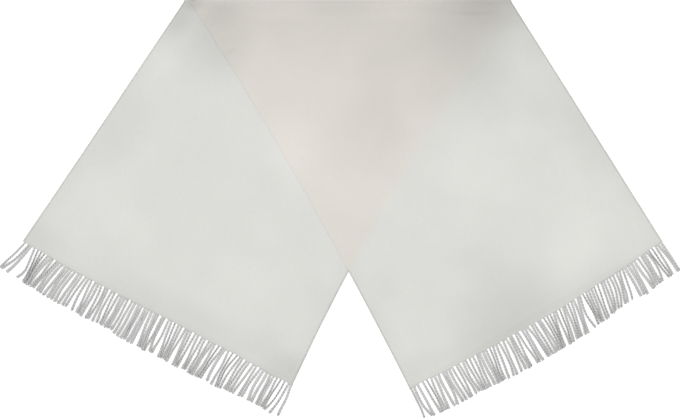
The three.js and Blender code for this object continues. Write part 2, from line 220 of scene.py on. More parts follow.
UPPER_LOCKS = (
    (3, -5, 0, 77), (12, 13, -5, 80), (22, 21, 0, 82), (37, 36.5, 0, 83), (47, 44, 1, 83),
    (58, 52, -2.5, 83), (68, 57.5, 1, 83), (78.5, 76, -2, 84), (89.5, 84, 2, 84), (98, 99.5, -2, 84),
    (107, 107.5, -1.5, 84), (117, 118.5, -1, 83), (126.5, 124, 0.5, 83), (135.5, 136, 0, 82),
    (144.5, 145, -2.5, 80), (154, 154.5, -1.5, 82), (163, 159.5, -1, 82), (174.5, 166, 0.5, 82),
    (183.5, 173.5, -0.5, 82), (191, 186, 0, 82), (210.5, 202, 0, 84, 3, 5.9, 0.6), (228.5, 214, -1.5, 84),
    (237.5, 225.5, 0.5, 86), (247, 236, 3.5, 87), (256, 245, 1, 87), (266.5, 259.5, 2, 87),
    (274.5, 269.5, 0, 87), (286, 282, 0, 88, 2, 6.0, 0.71), (299.5, 304, -1.5, 87), (308.5, 308.5, 1.5, 87),
    (318, 319, 0, 89), (326.5, 333, 2, 87), (335.5, 338.5, 0, 87), (344.5, 348, 0, 87),
    (353.5, 354.5, 1.5, 87), (361.5, 364, 1, 87), (371, 371, 1, 86), (380, 375, 1, 86), (389, 379, 0.5, 86),
    (398, 381.5, -1.5, 86), (406, 395, -0.5, 88), (415, 399.5, 1.5, 87), (424, 405.5, 0.5, 87),
    (431.5, 418.5, 0.5, 86), (440, 424, 1, 86), (449, 429.5, 0, 86), (457.5, 439, 2.5, 87),
    (466.5, 446.5, 0, 87), (476, 468.5, -5.5, 84), (483, 480.5, 1, 82), (491, 487.5, -1.5, 81),
    (500, 490.5, -1.5, 81), (508, 494, 0, 81), (517, 505, -1, 82), (525.5, 509.5, 0, 81),
    (537, 522.5, 0, 78), (544, 526, 1, 79), (552, 531.5, 5, 77), (561, 540, 5, 76), (570, 550, 5, 77),
    (580, 561, 3, 75), (589, 570, 1, 75), (598, 581, 1, 75), (610, 609, 0, 79, 2, 8.6, 1), (624, 621, 0, 83),
    (633, 640, -2.5, 79), (644, 646, 2, 79), (653, 654, 0.5, 77), (661, 661, 1, 77), (670, 668, 6, 77),
    (685.5, 692, 0, 78, 3, 5.6, 0.9), (708, 715, 0, 77, 2, 6.0, 0.8),
)

# Deep gaps of the fringe, which reach up to the hem: the number of the strand to their left
LOWER_DEEP_GAPS = (
    0, 3, 4, 5, 6, 9, 18, 21, 24, 26, 28, 32, 41, 43, 45, 46, 48, 51, 53, 55,
    58, 59, 62, 63, 64, 66, 68, 70, 76, 77, 78,
)
UPPER_DEEP_GAPS = (
    3, 4, 11, 13, 15, 17, 21, 22, 25, 27, 29, 31, 34, 36, 38, 39, 40, 41, 43, 44,
    46, 47, 49, 51, 52, 56, 70, 73, 74, 75,
)

# What each fringe is made from. bent_tips are the strands whose tips bend sideways, by how many millimetres,
# and slim are the thinner strands. All strands are numbered from 0 at the hem's left end.
LOWER_FRINGE = {
    "leg": LOWER, "locks": LOWER_LOCKS, "deep_gaps": LOWER_DEEP_GAPS,
    "bent_tips": {3: -12}, "slim": (), "seed": 3,
}
UPPER_FRINGE = {
    "leg": UPPER, "locks": UPPER_LOCKS, "deep_gaps": UPPER_DEEP_GAPS,
    "bent_tips": {}, "slim": (0, 1, *range(53, 66)), "seed": 8,
}
BENT_SHARE = 0.35  # of a strand's length, over which its tip bends
SLIM = 0.80  # of the usual width, for the thinner strands

# Finishes, as linear red, green and blue
CLOTH_SINGLE = (0.562, 0.568, 0.539)
# painted show-through: the cloth's colour where two layers lie on each other
CLOTH_PAINTED_SHOW_THROUGH = (0.566, 0.540, 0.505)
YARN_PALE = (0.458, 0.458, 0.454)
# painted shade, for the creases between a strand's yarns
YARN_PAINTED_SHADE = (0.16, 0.16, 0.155)
FLOOR_PALE = (0.92, 0.92, 0.92)
FLOOR_HALF = 40.0  # metres
FLOOR_GRAIN = 0.03
FLOOR_GLOW = 0.11  # the floor glows a little, so that it stays white in the fringe's open gaps

# Sizes in the finishes: of their soft noise, the twill's lines, the painted shade along the cloth's edges and
# hems, and its slight darkening towards its long edges
WEAVE_PITCH = 0.9 * MM
TWILL = {"turn": 45, "yarns": 4, "blend": (0.35, 0.65)}
CLOTH_GRAIN = {"patch": 0.11, "slub": 12 * MM, "painted_edge_shade": 6.0 * MM, "nap": 1.6 * MM}
SLUB_SQUEEZE = (1.0, 6.0, 1.0)  # how many times shorter the slubs are along the cloth than across
# over which the painted shade along the cloth's edges fades out
PAINTED_EDGE_SHADE_TO = (2.2 * MM, 6.5 * MM)
# within which the cloth darkens a little towards its long edges
DARKER_TO_EDGES_WITHIN = 50 * MM
# over which the painted shade along the hems fades out
HEM_SHADED_TO = 12 * MM
YARN_GRAIN = {"patch": 14 * MM, "fuzz": 0.7 * MM, "fibre": 0.45}
FIBRE_TURN = 9 * MM  # along a yarn, in which its fibres wind once round it
FIBRE_LONG = 12 * MM
PAINTED_CREASE_SHADE = (0.25, 0.85)  # how far out of a strand's middle the painted shade of its creases starts and ends
YARN_FADES = 80 * MM

# Surfaces: the share of the finer relief that is added to the coarser one, and the height of both
CLOTH_SURFACE = {"rough": 0.9, "sheen": 0.15, "finer": 0.7, "high": 0.25 * MM}
YARN_SURFACE = {"rough": 0.92, "sheen": 0.12, "finer": 0.4, "high": 0.35 * MM}

# From and to which share of itself each of these varies the colour
VARIES = {
    "patch": (0.985, 1.015), "slub": (0.975, 1.025), "weave": (0.95, 1.05),
    # in this row: painted shade along the cloth's edges, a slight darkening towards its long edges, and
    # painted shade along its hems
    "painted_edge_shade": (0.75, 0.93), "darker_to_edges": (0.963, 1.0), "hem": (0.955, 1.0),
    "fibre": (0.90, 1.10), "root_to_tip": (1.05, 0.90), "yarn_patch": (0.96, 1.04),
    "floor": (0.995, 1.005),
}

LIGHT = {"strength": 1.31, "towards": (-0.55, 0.65, 0.0), "leaning": 0.3}


def between(low, high, share):
    return low + (high - low) * share


def eased(value, low, high):
    """0 up to low, 1 from high, with an even rise between."""
    share = np.clip((value - low) / (high - low), 0, 1)
    return share * share * (3 - 2 * share)


def patches_at(place, rows):
    """Sum of the soft oval patches of a table at each place."""
    total = np.zeros(place.shape[:-1])
    for row in rows:
        patch = dict(zip(PATCH_COLUMNS, row))
        turn = math.radians(patch["turn"])
        dx, dy = place[..., 0] - patch["x"], place[..., 1] - patch["y"]
        along = (dx * math.cos(turn) + dy * math.sin(turn)) / patch["long"]
        aside = (dy * math.cos(turn) - dx * math.sin(turn)) / patch["wide"]
        total += patch["high"] * np.clip(1 - along**2 - aside**2, 0, None) ** 2
    return total


def edge_at(edge, along):
    """Places on an edge of a leg, from the fold (0) to the hem (1)."""
    bend = 4 * edge["bow"] * along * (1 - along) + edge["sway"] * np.sin(2 * math.pi * along)
    x = between(edge["fold"], edge["hem"][0], along) + bend
    return np.stack([x, between(FOLD_AXIS_Y, edge["hem"][1], along)], axis=-1)


def hem_frame(leg):
    """The hem's left corner, its length, its direction from left to right and the one away from the fold."""
    start, end = np.array(leg["left"]["hem"]), np.array(leg["right"]["hem"])
    length = np.linalg.norm(end - start)
    side = (end - start) / length
    return start, length, side, np.array([side[1], -side[0]])


def hem_stray(leg, across):
    """How far the hem strays outwards at each place across it."""
    beside, out = np.array(leg["hem_strays"]).T
    place = across * hem_frame(leg)[1] / MM
    return MM * np.mean([np.interp(place + step * HEM_SOFTNESS, beside, out) for step in (-1, 0, 1)], axis=0)


def leg_at(leg, across, along):
    """Places on a leg, across from its left edge (0) to its right, and along from the fold (0) to the hem."""
    across, along = np.broadcast_arrays(across, along)
    left, right = edge_at(leg["left"], along), edge_at(leg["right"], along)
    outward = hem_frame(leg)[3]
    out = (4 * leg["hem_bow"] * across * (1 - across) + hem_stray(leg, across)) * along**3
    return between(left, right, across[..., None]) + out[..., None] * outward


def past_lower_leg(place):
    """Distance of each place past the hidden right edge of the lower leg, negative on the leg."""
    edge = LOWER["right"]
    drop = FOLD_AXIS_Y - edge["hem"][1]
    along = np.clip((FOLD_AXIS_Y - place[..., 1]) / drop, None, 1)
    slant = math.atan2(edge["fold"] - edge["hem"][0], drop)
    return (place[..., 0] - edge_at(edge, along)[..., 0]) * math.cos(slant)


def with_height(place, height):
    return np.concatenate([place, np.broadcast_to(height, place.shape[:-1])[..., None]], axis=-1)


def relief_at(place):
    """Height of the cloth above lying flat, the same in both layers so that they never meet."""
    total = patches_at(place, SWELLS)
    fading = eased(FOLD_AXIS_Y - place[..., 1], 0, WAVES_SET_IN)
    for length, turn, high in WAVES:
        run = place[..., 0] * math.cos(math.radians(turn)) + place[..., 1] * math.sin(math.radians(turn))
        total = total + high * fading * (1 + np.sin(2 * math.pi * run / length))
    return total


def from_edge(across):
    """Metres from the nearer of the cloth's two long edges."""
    return np.minimum(across, 1 - across) * FLAT_WIDE


def fold_radius(across):
    closed = (CLOTH + EDGE_GAP) / 2
    return between(closed, FOLD_RADIUS, eased(from_edge(across), 0, FOLD_CLOSES))


def lower_points(across, along):
    place = leg_at(LOWER, across, along)
    return with_height(place, CLOTH / 2 + relief_at(place))


def upper_points(across, along):
    place = leg_at(UPPER, across, along)
    over = 1 - eased(past_lower_leg(place), LEVEL_PAST_EDGE, DOWN_PAST_EDGE)
    roll = 1 - eased(FOLD_AXIS_Y - place[..., 1], 0, FOLD_SLOPE)
    gap = between(EDGE_GAP, LAYER_GAP, eased(from_edge(across), 0, EDGE_SETTLES))
    lift = between((CLOTH + gap) * over, 2 * fold_radius(across), roll)
    return with_height(place, CLOTH / 2 + relief_at(place) + lift)


def turn_points(across, turned):
    """The roll at the fold, from the lower layer (0) to the upper one (1)."""
    across, turned = np.broadcast_arrays(across, turned)
    low = between(LOWER["left"]["fold"], LOWER["right"]["fold"], across)
    high = between(UPPER["left"]["fold"], UPPER["right"]["fold"], across)
    angle = math.pi * turned
    radius = fold_radius(across)
    y = FOLD_Y - CLOTH / 2 - radius * (1 - np.sin(angle))
    z = CLOTH / 2 + radius * (1 - np.cos(angle))
    return np.stack([between(low, high, turned), y, z], axis=-1)


def columns_across():
    """Shares across the cloth, crowded at both edges so that the selvedge can be round."""
    near = np.array(NEAR_EDGE) / FLAT_WIDE
    middle = np.linspace(near[-1], 1 - near[-1], EVEN_COLUMNS + 1)[1:-1]
    return np.concatenate([near, middle, 1 - near[::-1]])


def rows_along():
    """Shares along a leg from its first row past the fold to the hem, crowded at the fold and at the hem."""
    even = (np.arange(1, EVEN_ROWS) / EVEN_ROWS) ** ROW_CROWDING
    return np.concatenate([even, 1 - np.array(NEAR_EDGE)[::-1] / (FLAT_LONG / 2)])


def sheet_middle(across, along):
    """Points of the sheet at mid thickness, row by row from the lower hem, round the fold, to the upper."""
    leg_rows = along[:, None] * (1 + HEM_OUT / (FLAT_LONG / 2))
    turn_rows = np.linspace(0, 1, TURN_ROWS + 1)[:, None]
    lower = lower_points(across, leg_rows[::-1])
    turn = turn_points(across, turn_rows)
    upper = upper_points(across, leg_rows)
    return np.concatenate([lower, turn, upper])


def cloth_place(points):
    """Where each point lies in the weave: metres across from the left edge, and along from the lower hem."""
    places = np.zeros(points.shape)
    for leg, rows in ((LOWER, slice(0, LEG_ROWS)), (UPPER, slice(-LEG_ROWS, None))):
        start, _, side, outward = hem_frame(leg)
        away = points[rows, :, :2] - start
        places[rows, :, 0] = away @ side
        places[rows, :, 1] = -(away @ outward)
    places[-LEG_ROWS:, :, 1] = FLAT_LONG - places[-LEG_ROWS:, :, 1]
    turn = slice(LEG_ROWS, -LEG_ROWS)
    share = np.linspace(0, 1, TURN_ROWS + 1)[:, None, None]
    places[turn] = between(places[LEG_ROWS - 1], places[-LEG_ROWS], share)
    return places


def both_sides(middle, across, along):
    """The sheet's two sides, from its points at mid thickness. Along its edges the side that faces up is
    pressed down and carries a bead, and all round its rim is rounded."""
    inset = from_edge(across)
    from_hem = np.concatenate([(1 - along[::-1]), np.ones(TURN_ROWS + 1), 1 - along])[:, None] * FLAT_LONG / 2
    pressed = CLOTH * (1 - SELVEDGE["thin"]) * (1 - eased(inset, 0, SELVEDGE["pressed"]))
    bead = SELVEDGE["high"] * np.sin(math.pi * np.clip(inset / SELVEDGE["bead"], 0, 1)) ** 2
    thick = (CLOTH - pressed + bead)[:, None]
    sunk = ((pressed - bead) / 2)[:, None]
    to_rim = np.clip(np.minimum(inset, from_hem)[..., None] / (thick / 2), 0, 1)
    half = thick / 2 * np.sqrt(np.clip(1 - (1 - to_rim) ** 2, RIM_SQUARED, 1))
    square = np.cross(np.gradient(middle, axis=1), np.gradient(middle, axis=0))
    square = square / np.linalg.norm(square, axis=-1, keepdims=True)
    centre = middle - square * np.sign(square[..., 2:]) * sunk
    return centre + square * half, centre - square * half


def mesh_from(name, points, faces):
    mesh = bpy.data.meshes.new(name)
    mesh.from_pydata(points.tolist(), [], faces)
    mesh.validate()
    mesh.shade_smooth()
    return mesh


def add_object(name, mesh):
    piece = bpy.data.objects.new(name, mesh)
    bpy.context.scene.collection.objects.link(piece)
    return piece


def point_attribute(mesh, name, values, kind="FLOAT"):
    attribute = mesh.attributes.new(name, kind, "POINT")
    field = "vector" if kind == "FLOAT_VECTOR" else "value"
    attribute.data.foreach_set(field, np.ascontiguousarray(values, dtype=np.float32).ravel())


def quads(first, step, across):
    """A quad from each first point, by one step of the numbering and then by another across it."""
    return np.stack([first, first + step, first + step + across, first + across], axis=1)


def sheet_faces(rows, columns):
    """Quads of both sides of the sheet and of its four rims. One side's points follow the other's."""
    corner = (np.arange(rows - 1)[:, None] * columns + np.arange(columns - 1)).ravel()
    top = quads(corner, 1, columns)
    under = rows * columns
    bottom = top[:, ::-1] + under
    down = np.arange(rows - 1) * columns
    left = quads(down, columns, under)
    right = quads(down + columns - 1, under, columns)
    along = np.arange(columns - 1)
    first = quads(along, under, 1)
    last = quads(along + (rows - 1) * columns, 1, under)
    return np.concatenate([top, bottom, left, right, first, last])


def woven_sheet(material):
    across, along = columns_across(), rows_along()
    middle = sheet_middle(across, along)
    rows, columns = middle.shape[:2]
    points = np.concatenate(both_sides(middle, across, along)).reshape(-1, 3)
    mesh = mesh_from("woven_sheet", points, sheet_faces(rows, columns).tolist())
    place = cloth_place(middle)
    y = middle[..., 1]
    shift, blur = (between(*grows["wide"], eased(y, *grows["y"])) for grows in (WARM_SHIFT, WARM_BLUR))
    doubled = 1 - eased(past_lower_leg(middle[..., :2]) - shift, -blur, blur)
    doubled[:LEG_ROWS] = 0
    # painted light and shade of the patches, as a share of the colour
    tone = 1 + patches_at(middle[..., :2], PAINTED_LIGHT_AND_SHADE)
    inset = np.broadcast_to(from_edge(across), (rows, columns))
    point_attribute(mesh, "cloth_place", np.concatenate([place.reshape(-1, 3)] * 2), "FLOAT_VECTOR")
    point_attribute(mesh, "doubled", np.tile(doubled.ravel(), 2))
    point_attribute(mesh, "tone", np.tile(tone.ravel(), 2))
    point_attribute(mesh, "from_edge", np.tile(inset.ravel(), 2))
    mesh.materials.append(material)
    return add_object("woven_sheet", mesh)


def strands_aside(plan):
    """Places along the hem of each strand's middle from root to tip, its root, and its length."""
    share = np.linspace(0, 1, PATH_POINTS)
    asides, roots, lengths = [], [], []
    for root, tip, bulge, length, *several in plan["locks"]:
        strands, pitch, closes = several or ALONE
        for number in range(strands):
            from_middle = number - (strands - 1) / 2
            spread = 2 * bulge * from_middle / (strands - 1) if strands > 1 else bulge
            closing = between(ROOT_PITCH, pitch * MM, np.minimum(share / closes, 1) ** CLOSING)
            aside = between(root, tip, share) * MM + from_middle * closing
            asides.append(aside + spread * MM * np.sin(math.pi * share))
            roots.append(root * MM + from_middle * ROOT_PITCH)
            lengths.append(length * MM)
    for strand, bend in plan["bent_tips"].items():
        asides[strand] = asides[strand] + bend * MM * np.clip((share - 1) / BENT_SHARE + 1, 0, None) ** 2
    return np.array(asides), np.array(roots), np.array(lengths)


def crowding_lift(asides, full):
    """Every second strand rides up over its neighbours where they crowd closer than their width."""
    wide = STRAND["wide"] * (full[1:] + full[:-1]) / 2
    apart = np.abs(np.diff(asides, axis=0))
    need = np.sqrt(np.clip(wide**2 - apart**2, 0, None))
    lift = np.zeros(asides.shape)
    lift[1:] = need
    lift[:-1] = np.maximum(lift[:-1], need)
    lift[::2] = 0
    return lift


def strand_build(roots, plan, random):
    """Each strand's share of the usual width along it, its lean away from a deep gap, the reach of its fan to
    the left and right, and the length over which that gathers."""
    count = len(roots)
    gaps = plan["deep_gaps"]
    left_gap, right_gap = np.isin(np.arange(count) - 1, gaps), np.isin(np.arange(count), gaps)
    gaps_beside = left_gap.astype(int) + right_gap
    share = np.linspace(0, 1, PATH_POINTS)
    widths = np.stack([np.take(FULL[key], gaps_beside) for key in ("at_root", "halfway", "at_tip")], axis=1)
    full = np.array([np.interp(share, (0, HALFWAY, 1), row) for row in widths])
    full = full * (1 + UNEVEN * random.uniform(-1, 1, (count, 1)))
    full[list(plan["slim"])] *= SLIM
    lean = FAN["lean"] * (left_gap.astype(int) - right_gap)[:, None] * (1 - share**2)
    stray = STRAY["aside"] * random.uniform(-1, 1, (count, 1)) * (gaps_beside == 0)[:, None]
    lean = lean + stray * eased(share, 0, STRAY["by"])
    half_apart = np.concatenate([[FAN["reach"]], np.diff(roots) / 2, [FAN["reach"]]])
    reach = np.minimum(half_apart * FANS_OVERLAP, FAN["reach"])
    left = np.where(left_gap, FAN["beside_gap"], reach[:-1])
    right = np.where(right_gap, FAN["beside_gap"], reach[1:])
    return full, lean, left, right, random.uniform(*FAN["gather"], count)


def beside_hem(leg, roots, asides, reach):
    """Places at a distance past the heading, each beside its strand's root."""
    _, hem_long, side, outward = hem_frame(leg)
    places = leg_at(leg, roots / hem_long, 1.0)[:, None] + (asides - roots[:, None])[..., None] * side
    return places + (HEADING + reach)[..., None] * outward


def reach_along(leg, roots, lengths, share):
    """Distances past the heading, from the edge of the cloth (0) to the strands' tips (1)."""
    to_tip = lengths - hem_stray(leg, roots / hem_frame(leg)[1])
    return between(HEM_OUT - HEADING, to_tip[:, None], share)


def strand_paths(leg, shape, full, lean, gather, random):
    """Middle lines of a fringe's strands, from inside the hem to the tip: an array of strands by points by 3.

    Heights are those of round strands, before they are flattened."""
    share = np.linspace(0, 1, PATH_POINTS)
    asides, roots, lengths = shape
    lift = crowding_lift(asides, full)
    phase = random.uniform(0, 2 * math.pi, (len(roots), 1))
    cycles = random.uniform(*WANDER["cycles"], (len(roots), 1))
    asides = asides + lean + WANDER["aside"] * share * np.sin(2 * math.pi * cycles * share + phase)
    reach = reach_along(leg, roots, lengths, share)
    rising = eased(reach - reach[:, :1], 0, gather[:, None])
    lying = STRAND["wide"] / 2 * LYING_HIGH
    in_cloth = CLOTH / 2 / STRAND["flat"]
    high = between(in_cloth, lying, rising) + lift * rising
    points = with_height(beside_hem(leg, roots, asides, reach), high)
    start = with_height(beside_hem(leg, roots, roots[:, None], reach[:, :1] - ROOT_INSIDE), in_cloth)
    return np.concatenate([start, points], axis=1)


class Tree:
    """Adds nodes to a node tree: a value given to an input is either a socket to link or a constant."""

    def __init__(self, tree):
        self.tree = tree

    def add(self, kind, inputs=(), **settings):
        node = self.tree.nodes.new(kind)
        for setting, value in settings.items():
            setattr(node, setting, value)
        for key, value in dict(inputs).items():
            socket = node.inputs[key]
            if isinstance(value, bpy.types.NodeSocket):
                self.tree.links.new(value, socket)
            else:
                socket.default_value = value
        return node

    def out(self, kind, inputs=(), **settings):
        return self.add(kind, inputs, **settings).outputs[0]

    def maths(self, operation, *values):
        return self.out("ShaderNodeMath", enumerate(values), operation=operation)

    def times(self, *values):
        product = values[0]
        for value in values[1:]:
            product = self.maths("MULTIPLY", product, value)
        return product

    def vector(self, operation, *values):
        node = self.add("ShaderNodeVectorMath", enumerate(values), operation=operation)
        return node.outputs["Value" if operation in ("LENGTH", "DOT_PRODUCT") else "Vector"]

    def scaled(self, vector, factor):
        return self.out("ShaderNodeVectorMath", {0: vector, "Scale": factor}, operation="SCALE")

    def ranged(self, value, low, high, to_low=0.0, to_high=1.0, smooth=False):
        kind = "SMOOTHSTEP" if smooth else "LINEAR"
        inputs = {0: value, 1: low, 2: high, 3: to_low, 4: to_high}
        return self.out("ShaderNodeMapRange", inputs, interpolation_type=kind)

    def mixed(self, factor, first, second):
        return self.out("ShaderNodeMix", {0: factor, 2: first, 3: second})

    def tinted(self, factor, first, second):
        colours = {0: factor, 6: (*first, 1), 7: (*second, 1)}
        return self.add("ShaderNodeMix", colours, data_type="RGBA").outputs[2]

    def named(self, name, output="Fac"):
        return self.add("ShaderNodeAttribute", attribute_name=name).outputs[output]

    def noise(self, place, size, detail=2.0, rough=0.5):
        """Soft noise whose patches are about as large as the size."""
        inputs = {"Vector": place, "Scale": 1 / size, "Detail": detail, "Roughness": rough}
        return self.add("ShaderNodeTexNoise", inputs).outputs["Fac"]

    def varied(self, noise, what):
        """The share by which soft noise, which seldom leaves 0.3 to 0.7, varies a colour."""
        return self.ranged(noise, 0.3, 0.7, *VARIES[what])

    def ridges(self, place, pitch, direction="X"):
        """Even ridges of the given pitch: a wave texture of scale 1 repeats every pi / 10."""
        inputs = {"Vector": place, "Scale": math.pi / 10 / pitch}
        return self.add("ShaderNodeTexWave", inputs, bands_direction=direction).outputs["Fac"]

    def bump(self, height, distance, strength=0.6):
        inputs = {"Strength": strength, "Distance": distance, "Height": height}
        return self.out("ShaderNodeBump", inputs)


def geometry_tree(name, sizes):
    """A Geometry Nodes tree with a geometry input, the named sizes as inputs, and a geometry output."""
    group = bpy.data.node_groups.new(name, "GeometryNodeTree")
    group.interface.new_socket("Geometry", in_out="INPUT", socket_type="NodeSocketGeometry")
    for label, kind in sizes.items():
        group.interface.new_socket(label, in_out="INPUT", socket_type="NodeSocket" + kind)
    group.interface.new_socket("Geometry", in_out="OUTPUT", socket_type="NodeSocketGeometry")
    tree = Tree(group)
    return tree, tree.add("NodeGroupInput").outputs


def finished_by(tree, geometry, material):
    whole = tree.out("GeometryNodeRealizeInstances", {"Geometry": geometry})
    smooth = tree.out("GeometryNodeSetShadeSmooth", {"Geometry": whole})
    painted = tree.out("GeometryNodeSetMaterial", {"Geometry": smooth, "Material": material})
    tree.add("NodeGroupOutput", {"Geometry": painted})
    return tree.tree


def captured(tree, geometry, value, kind="FLOAT", domain="POINT"):
    """The geometry and the value as it stands there, carried on through later nodes."""
    node = tree.add("GeometryNodeCaptureAttribute", domain=domain)
    node.capture_items.new(kind, "Value")
    tree.tree.links.new(geometry, node.inputs[0])
    tree.tree.links.new(value, node.inputs[1])
    return node.outputs[0], node.outputs[1]


def twisted_strands():
    """Turns lines into strands: the yarns leave the cloth side by side, then twist round each other."""
    kinds = {label: "Int" if isinstance(size, int) else "Float" for label, size in STRAND_SIZES.items()}
    tree, given = geometry_tree("twisted_strands", {**kinds, "Seed": "Int", "Material": "Material"})

    def chance(geometry, low, high, seed):
        """A random value for each line, carried on with the geometry."""
        value = tree.add("FunctionNodeRandomValue", {2: low, 3: high, "Seed": given[seed]}).outputs[1]
        return captured(tree, geometry, value, domain="CURVE")

    full, reach_left, reach_right, gather_long = (
        tree.out("GeometryNodeInputNamedAttribute", {"Name": name}, data_type="FLOAT")
        for name in STRAND_VALUES
    )
    lines = tree.out("GeometryNodeMeshToCurve", {0: given["Geometry"]})
    lines = tree.out("GeometryNodeResampleCurve", {"Curve": lines, "Count": given["Steps"]})
    lines, start_turn = chance(lines, 0.0, 2 * math.pi, "Seed")
    lines, tightness = chance(lines, *STRAND["turn_varies"], "Steps")
    copies = tree.add("GeometryNodeDuplicateElements", {0: lines, 2: given["Yarns"]}, domain="SPLINE")
    yarns, number = captured(tree, copies.outputs[0], copies.outputs[1])
    spline = tree.add("GeometryNodeSplineParameter").outputs
    yarns, share = captured(tree, yarns, spline["Factor"])
    yarns, length = captured(tree, yarns, spline["Length"])
    yarns, thick = chance(yarns, *YARN["wide_varies"], "Seed")
    yarns, longer = chance(yarns, -1.0, 1.0, "Yarns")
    yarns, middle = captured(tree, yarns, tree.out("GeometryNodeInputPosition"), "VECTOR")

    outside = tree.maths("SUBTRACT", length, given["Inside Length"])
    gather = tree.ranged(outside, 0.0, gather_long, smooth=True)
    yarns, gather = captured(tree, yarns, gather)
    turns = tree.maths("DIVIDE", tree.times(outside, tightness), given["Turn Length"])
    turns = tree.maths("ADD", turns, tree.maths("DIVIDE", number, given["Yarns"]))
    angle = tree.maths("MULTIPLY_ADD", turns, 2 * math.pi, start_turn)
    tip = tree.ranged(share, TIP["from"], 1.0, smooth=True)
    coil = tree.times(given["Coil Radius"], full)
    loose = tree.maths("MULTIPLY_ADD", tip, given["Loose Tip"], 1.0)
    to_left = tree.maths("DIVIDE", number, tree.maths("SUBTRACT", given["Yarns"], 1.0))
    fanned = tree.mixed(to_left, tree.times(reach_right, -0.5), tree.times(reach_left, 0.5))
    aside = tree.mixed(gather, fanned, tree.times(coil, loose, tree.maths("COSINE", angle)))
    rise = tree.times(coil, tree.maths("SINE", angle), gather)

    heading = tree.out("GeometryNodeInputTangent")
    side = tree.vector("NORMALIZE", tree.vector("CROSS_PRODUCT", heading, (0.0, 0.0, 1.0)))
    up = tree.vector("CROSS_PRODUCT", side, heading)
    stretch = tree.times(longer, given["Uneven Tips"], tip)
    offset = tree.vector("ADD", tree.scaled(side, aside), tree.scaled(up, rise))
    offset = tree.vector("ADD", offset, tree.scaled(heading, stretch))
    yarns = tree.out("GeometryNodeSetPosition", {"Geometry": yarns, "Offset": offset})

    at_hem = tree.times(tree.mixed(to_left, reach_right, reach_left), 0.5)
    end = tree.ranged(share, TIP["taper_from"], 1.0, 1.0, TIP["taper_to"], smooth=True)
    radius = tree.mixed(gather, at_hem, tree.times(given["Yarn Radius"], full, thick, end))
    yarns, radius = captured(tree, yarns, radius)
    circle = {"Resolution": given["Sides"], "Radius": 1.0}
    ring = tree.out("GeometryNodeCurvePrimitiveCircle", circle)
    ring, around = captured(tree, ring, tree.out("GeometryNodeInputPosition"), "VECTOR")
    drawn = {"Curve": yarns, "Profile Curve": ring, "Scale": radius, "Fill Caps": True}
    tubes = tree.out("GeometryNodeCurveToMesh", drawn)
    from_middle = tree.vector("SUBTRACT", tree.out("GeometryNodeInputPosition"), middle)
    reach = tree.maths("ADD", given["Coil Radius"], given["Yarn Radius"])
    stored = (
        ("along_yarn", "FLOAT", length),
        ("around_yarn", "FLOAT_VECTOR", around),
        ("out_of_strand", "FLOAT", tree.maths("DIVIDE", tree.vector("LENGTH", from_middle), reach)),
        ("near_hem", "FLOAT", tree.maths("SUBTRACT", 1.0, gather)),
    )
    for label, kind, value in stored:
        node = tree.add("GeometryNodeStoreNamedAttribute", {"Geometry": tubes, "Name": label}, data_type=kind)
        into = next(socket for socket in node.inputs if socket.name == "Value" and socket.enabled)
        tree.tree.links.new(value, into)
        tubes = node.outputs[0]
    high = tree.mixed(gather, given["Flatness At Hem"], tree.maths("DIVIDE", 1.0, full))
    high = tree.out("ShaderNodeCombineXYZ", {0: 1.0, 1: 1.0, 2: high})
    flat = tree.out("ShaderNodeCombineXYZ", {0: 1.0, 1: 1.0, 2: given["Flatness"]})
    raised = tree.vector("ADD", middle, tree.vector("MULTIPLY", from_middle, high))
    place = tree.vector("MULTIPLY", raised, flat)
    tubes = tree.out("GeometryNodeSetPosition", {"Geometry": tubes, "Position": place})
    return finished_by(tree, tubes, given["Material"])


def lines_object(name, paths, values):
    """A mesh of loose lines, one for each path, with the named values of each line's points."""
    strands, count = paths.shape[:2]
    first = np.arange(strands)[:, None] * count + np.arange(count - 1)
    edges = np.stack([first.ravel(), first.ravel() + 1], axis=1)
    mesh = bpy.data.meshes.new(name)
    mesh.from_pydata(paths.reshape(-1, 3).tolist(), edges.tolist(), [])
    for label, value in values.items():
        point_attribute(mesh, label, np.broadcast_to(value, (strands, count)))
    return add_object(name, mesh)


def grown_from(name, guide, tree, sizes):
    """The plain mesh that a Geometry Nodes tree makes from a guide with the given sizes."""
    modifier = guide.modifiers.new("growth", "NODES")
    modifier.node_group = tree
    for item in tree.interface.items_tree:
        if item.in_out == "INPUT" and item.name in sizes:
            modifier[item.identifier] = sizes[item.name]
    graph = bpy.context.evaluated_depsgraph_get()
    grown = guide.evaluated_get(graph)
    mesh = bpy.data.meshes.new_from_object(grown, preserve_all_data_layers=True, depsgraph=graph)
    guide.modifiers.remove(modifier)
    bpy.data.objects.remove(guide)
    mesh.name = name
    return add_object(name, mesh)


def fringe(name, plan, tree, material):
    """The fringe of a plan, as one piece."""
    sizes = {**STRAND_SIZES, "Seed": plan["seed"], "Material": material}
    random = np.random.default_rng(plan["seed"])
    shape = strands_aside(plan)
    full, lean, left, right, gather = strand_build(shape[1], plan, random)
    paths = strand_paths(plan["leg"], shape, full, lean, gather, random)
    full = np.concatenate([full[:, :1], full], axis=1)
    values = dict(zip(STRAND_VALUES, (full, left[:, None], right[:, None], gather[:, None])))
    return grown_from(name, lines_object(name + "_lines", paths, values), tree, sizes)


def soft_material(name, surface):
    material = bpy.data.materials.new(name)
    material.use_nodes = True
    shader = material.node_tree.nodes["Principled BSDF"]
    shader.inputs["Roughness"].default_value = surface["rough"]
    shader.inputs["Specular IOR Level"].default_value = 0.2
    shader.inputs["Sheen Weight"].default_value = surface["sheen"]
    shader.inputs["Sheen Roughness"].default_value = 0.6
    return material, Tree(material.node_tree), shader


def dressed(tree, shader, colour, shares, normal=None):
    """Gives a shader a colour varied by several shares, and a bumped normal."""
    for share in shares:
        colour = tree.scaled(colour, share)
    tree.tree.links.new(colour, shader.inputs["Base Color"])
    if normal:
        tree.tree.links.new(normal, shader.inputs["Normal"])


